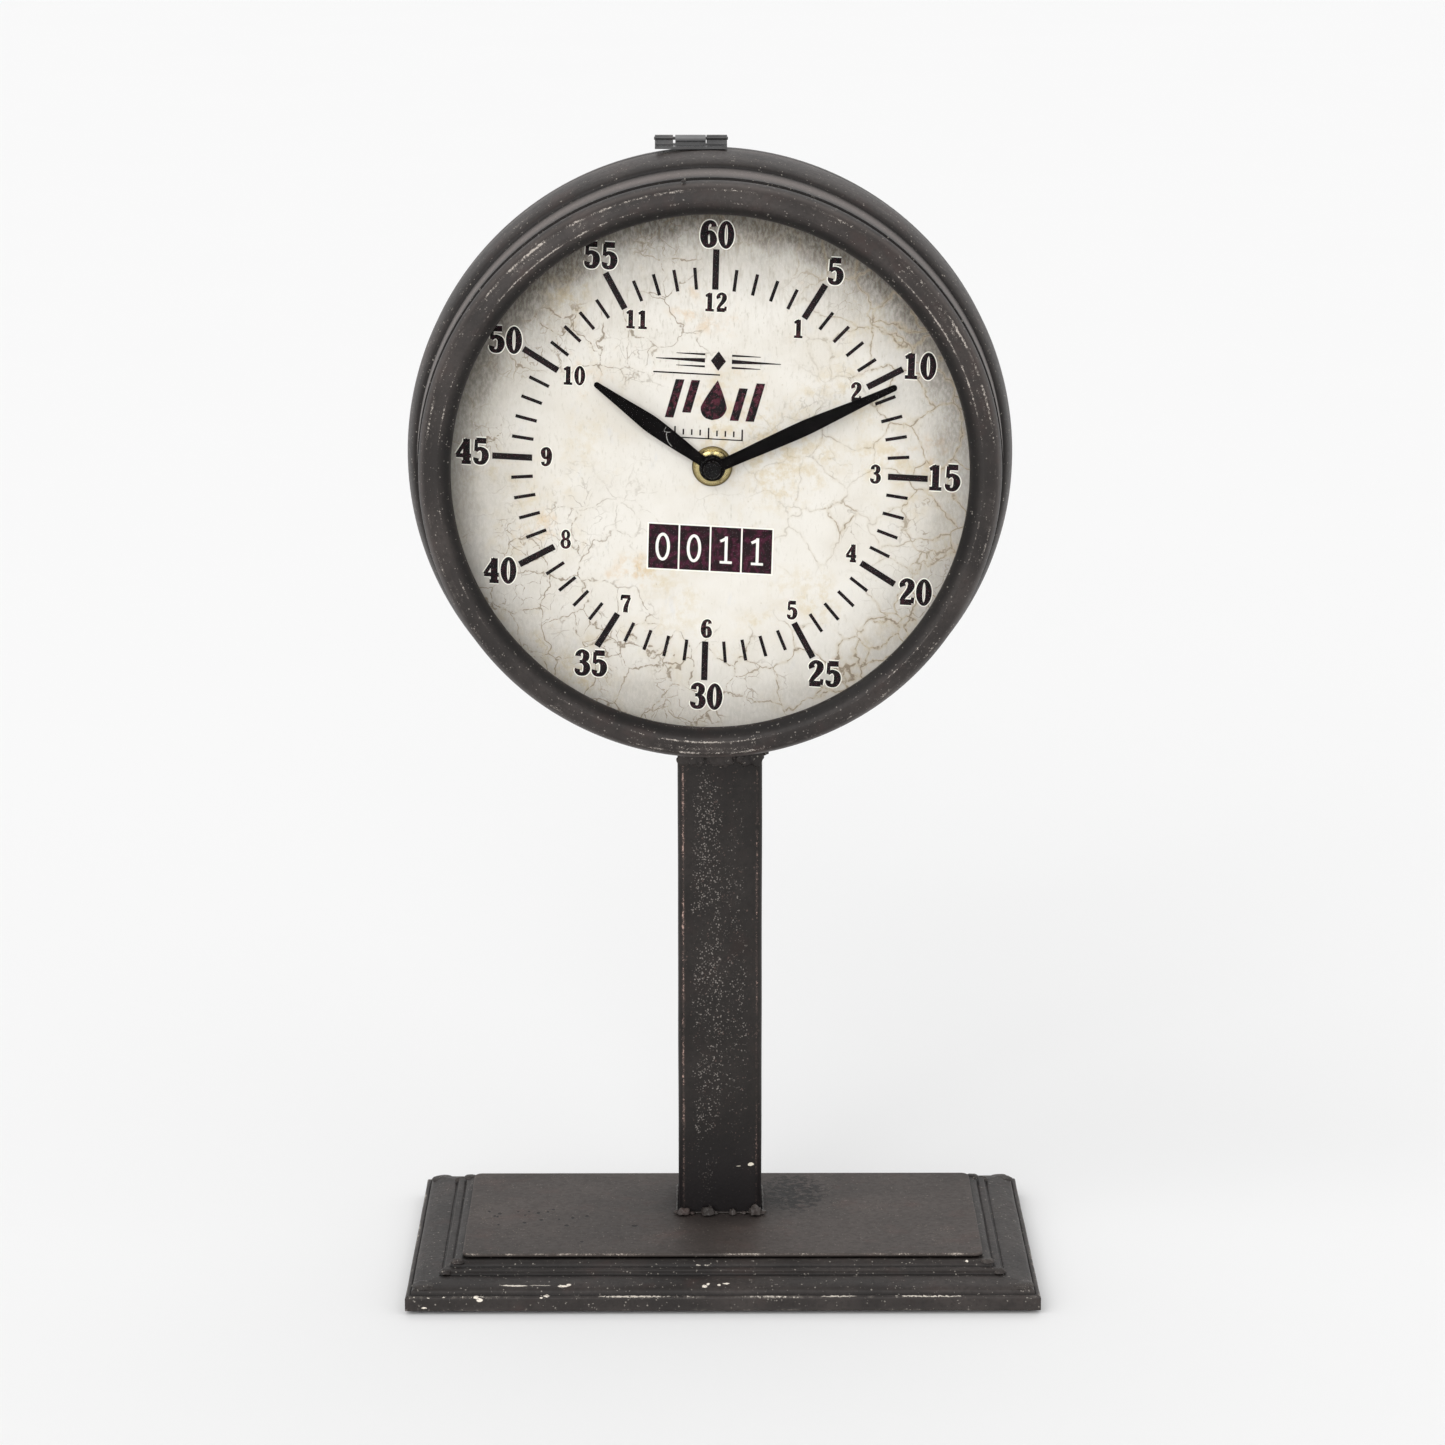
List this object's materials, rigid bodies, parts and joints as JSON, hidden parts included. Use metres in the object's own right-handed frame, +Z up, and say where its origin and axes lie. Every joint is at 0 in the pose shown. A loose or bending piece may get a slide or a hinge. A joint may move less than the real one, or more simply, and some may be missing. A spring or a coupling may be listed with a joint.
{
  "type": "advertising clock",
  "caption": "Desk clock shaped like a fuel meter: round steel drum head with glazed ivory dial and two black hands, hinged rear cover, square post and stepped rectangular base.",
  "frame": {"origin": "middle of the base on the surface it stands on", "axes": "+Z up, -Y towards the viewer of the dial, +X to the viewer's right"},
  "size_m": [0.222, 0.125, 0.402],
  "materials": {
    "distressed_paint": "satin dark charcoal paint, rubbed through to pale metal on ridges and edges",
    "felt": "dark felt",
    "clear_glass": "polished flat glass",
    "dial_paper": "matt aged ivory print with fine crackle on a thin board",
    "black_enamel": "semi-gloss black",
    "brass": "turned bright brass",
    "bright_steel": "satin",
    "black_plastic": "fine moulded texture",
    "nylon": "moulded nylon",
    "rubber": "matt",
    "copper_wire": "lacquered copper winding",
    "magnet": "dark sintered magnet",
    "board": "resin board",
    "battery_sleeve": "printed foil sleeve"
  },
  "bodies": {
    "clock_stand": {"base_moulding_front": "distressed_paint", "base_moulding_back": "distressed_paint", "base_moulding_left": "distressed_paint", "base_moulding_right": "distressed_paint", "base_top_plate": "distressed_paint", "felt_foot_front_left": "felt", "felt_foot_front_right": "felt", "felt_foot_back_left": "felt", "felt_foot_back_right": "felt", "post": "distressed_paint", "foot_weld": "distressed_paint", "head_weld": "distressed_paint", "drum_shell": "distressed_paint", "bezel_ring": "distressed_paint", "bezel_rivet": "distressed_paint", "glass": "clear_glass", "spacer_hoop": "black_enamel", "dial_plate": "dial_paper", "dial_keeper_hoop": "bright_steel", "hinge_leaf_fixed": "distressed_paint", "hinge_pin": "bright_steel", "threaded_bush": "brass", "brass_washer": "brass", "hex_nut": "brass", "rubber_washer": "rubber", "movement_case": "black_plastic", "movement_back": "black_plastic", "stator": "bright_steel", "coil": "copper_wire", "circuit_board": "board", "quartz_crystal": "bright_steel", "battery": "battery_sleeve", "contact_positive": "bright_steel", "contact_negative": "bright_steel"},
    "rear_cover": {"rear_cover": "distressed_paint", "hinge_leaf_moving": "distressed_paint", "cover_knob": "bright_steel"},
    "minute_arbor": {"minute_wheel": "bright_steel", "minute_hand": "black_enamel", "cap_nut": "black_enamel"},
    "hour_pipe": {"hour_wheel": "nylon", "hour_hand": "black_enamel"},
    "motion_wheel": {"motion_wheel": "nylon"},
    "third_wheel": {"third_wheel": "nylon"},
    "seconds_wheel": {"seconds_wheel": "nylon"},
    "setting_knob": {"setting_knob": "black_plastic"},
    "rotor": {"rotor": "magnet"}
  },
  "joints": [
    {"name": "cover_hinge", "type": "hinge", "parent": "clock_stand", "child": "rear_cover", "pos_m": [-0.01075, 0.0244, 0.4007], "axis": [1, 0, 0], "range_deg": [0, 105]},
    {"name": "minute_turn", "type": "hinge", "parent": "clock_stand", "child": "minute_arbor", "pos_m": [-0.0035, 0, 0.2914], "axis": [0, 1, 0], "continuous": true},
    {"name": "hour_turn", "type": "hinge", "parent": "clock_stand", "child": "hour_pipe", "pos_m": [-0.0035, 0, 0.2914], "axis": [0, 1, 0], "continuous": true},
    {"name": "motion_turn", "type": "hinge", "parent": "clock_stand", "child": "motion_wheel", "pos_m": [-0.01181, 0, 0.2962], "axis": [0, 1, 0], "continuous": true},
    {"name": "third_turn", "type": "hinge", "parent": "clock_stand", "child": "third_wheel", "pos_m": [0.001, 0, 0.29919], "axis": [0, 1, 0], "continuous": true},
    {"name": "seconds_turn", "type": "hinge", "parent": "clock_stand", "child": "seconds_wheel", "pos_m": [-0.0035, 0, 0.2914], "axis": [0, 1, 0], "continuous": true},
    {"name": "knob_turn", "type": "hinge", "parent": "clock_stand", "child": "setting_knob", "pos_m": [-0.02141, 0, 0.2962], "axis": [0, 1, 0], "continuous": true},
    {"name": "rotor_turn", "type": "hinge", "parent": "clock_stand", "child": "rotor", "pos_m": [0.0055, 0, 0.2914], "axis": [0, 1, 0], "continuous": true}
  ],
  "couplings": [
    {"joint": "hour_turn", "follows": "minute_turn", "ratio": 0.083333},
    {"joint": "motion_turn", "follows": "minute_turn", "ratio": -0.33333},
    {"joint": "third_turn", "follows": "minute_turn", "ratio": -8},
    {"joint": "seconds_turn", "follows": "minute_turn", "ratio": 60},
    {"joint": "knob_turn", "follows": "minute_turn", "ratio": 1}
  ]
}
